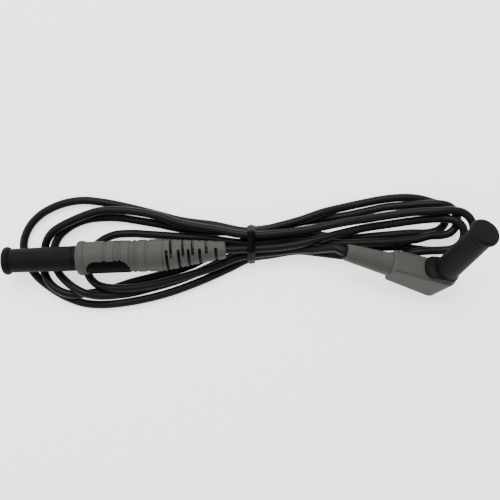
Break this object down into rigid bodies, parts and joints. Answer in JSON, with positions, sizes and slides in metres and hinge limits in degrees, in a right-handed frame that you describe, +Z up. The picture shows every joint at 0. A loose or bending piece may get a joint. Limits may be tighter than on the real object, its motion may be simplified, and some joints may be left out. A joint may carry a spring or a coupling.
{
  "type": "safety test lead",
  "caption": "Safety test lead: a straight shrouded plug and a right-angle one, each under a pull-off cap, on a limp cable coiled in a flat hank held by a twist tie.",
  "frame": {"origin": "on the surface the lead lies on, under the middle of the box round the two plugs with their caps on", "axes": "+X along the straight plug towards its cable, which is the long way of the hank, +Z up from the surface"},
  "size_m": [0.2272, 0.0564, 0.0492],
  "materials": {
    "grip_plastic": "satin",
    "cap_plastic": "matte",
    "shroud_plastic": "satin",
    "insert_plastic": "satin",
    "cable_rubber": "satin",
    "plated_brass": "polished",
    "spring_brass": "satin",
    "copper": "satin",
    "inner_insulation": "matte",
    "tinned_metal": "satin",
    "tie_plastic": "satin",
    "tie_wire": "satin"
  },
  "bodies": {
    "lead": {"straight_shroud": "shroud_plastic", "straight_contact_pin": "plated_brass", "straight_contact_spring": "spring_brass", "straight_handle": "grip_plastic", "straight_insert_front": "insert_plastic", "straight_insert_back": "insert_plastic", "straight_bend_relief": "grip_plastic", "straight_crimp_sleeve": "tinned_metal", "straight_conductor_end": "copper", "straight_inner_insulation": "inner_insulation", "angle_shroud": "shroud_plastic", "angle_contact_pin": "plated_brass", "angle_contact_spring": "spring_brass", "angle_head": "grip_plastic", "angle_bend_relief": "grip_plastic", "angle_cable_sleeve": "cable_rubber", "angle_terminal": "tinned_metal", "angle_conductor_end": "copper", "angle_inner_insulation": "inner_insulation", "cable": "cable_rubber", "twist_tie_ribbon": "tie_plastic", "twist_tie_wire": "tie_wire"},
    "straight_cap_body": {"straight_cap": "cap_plastic"},
    "angle_cap_body": {"angle_cap": "cap_plastic"}
  },
  "joints": [
    {"name": "straight_cap_slide", "type": "slide", "parent": "lead", "child": "straight_cap_body", "axis": [-0.9993, -0.0384, 0], "range_m": [0, 0.04]},
    {"name": "angle_cap_slide", "type": "slide", "parent": "lead", "child": "angle_cap_body", "axis": [0.251, 0.4956, 0.8315], "range_m": [0, 0.04]}
  ]
}
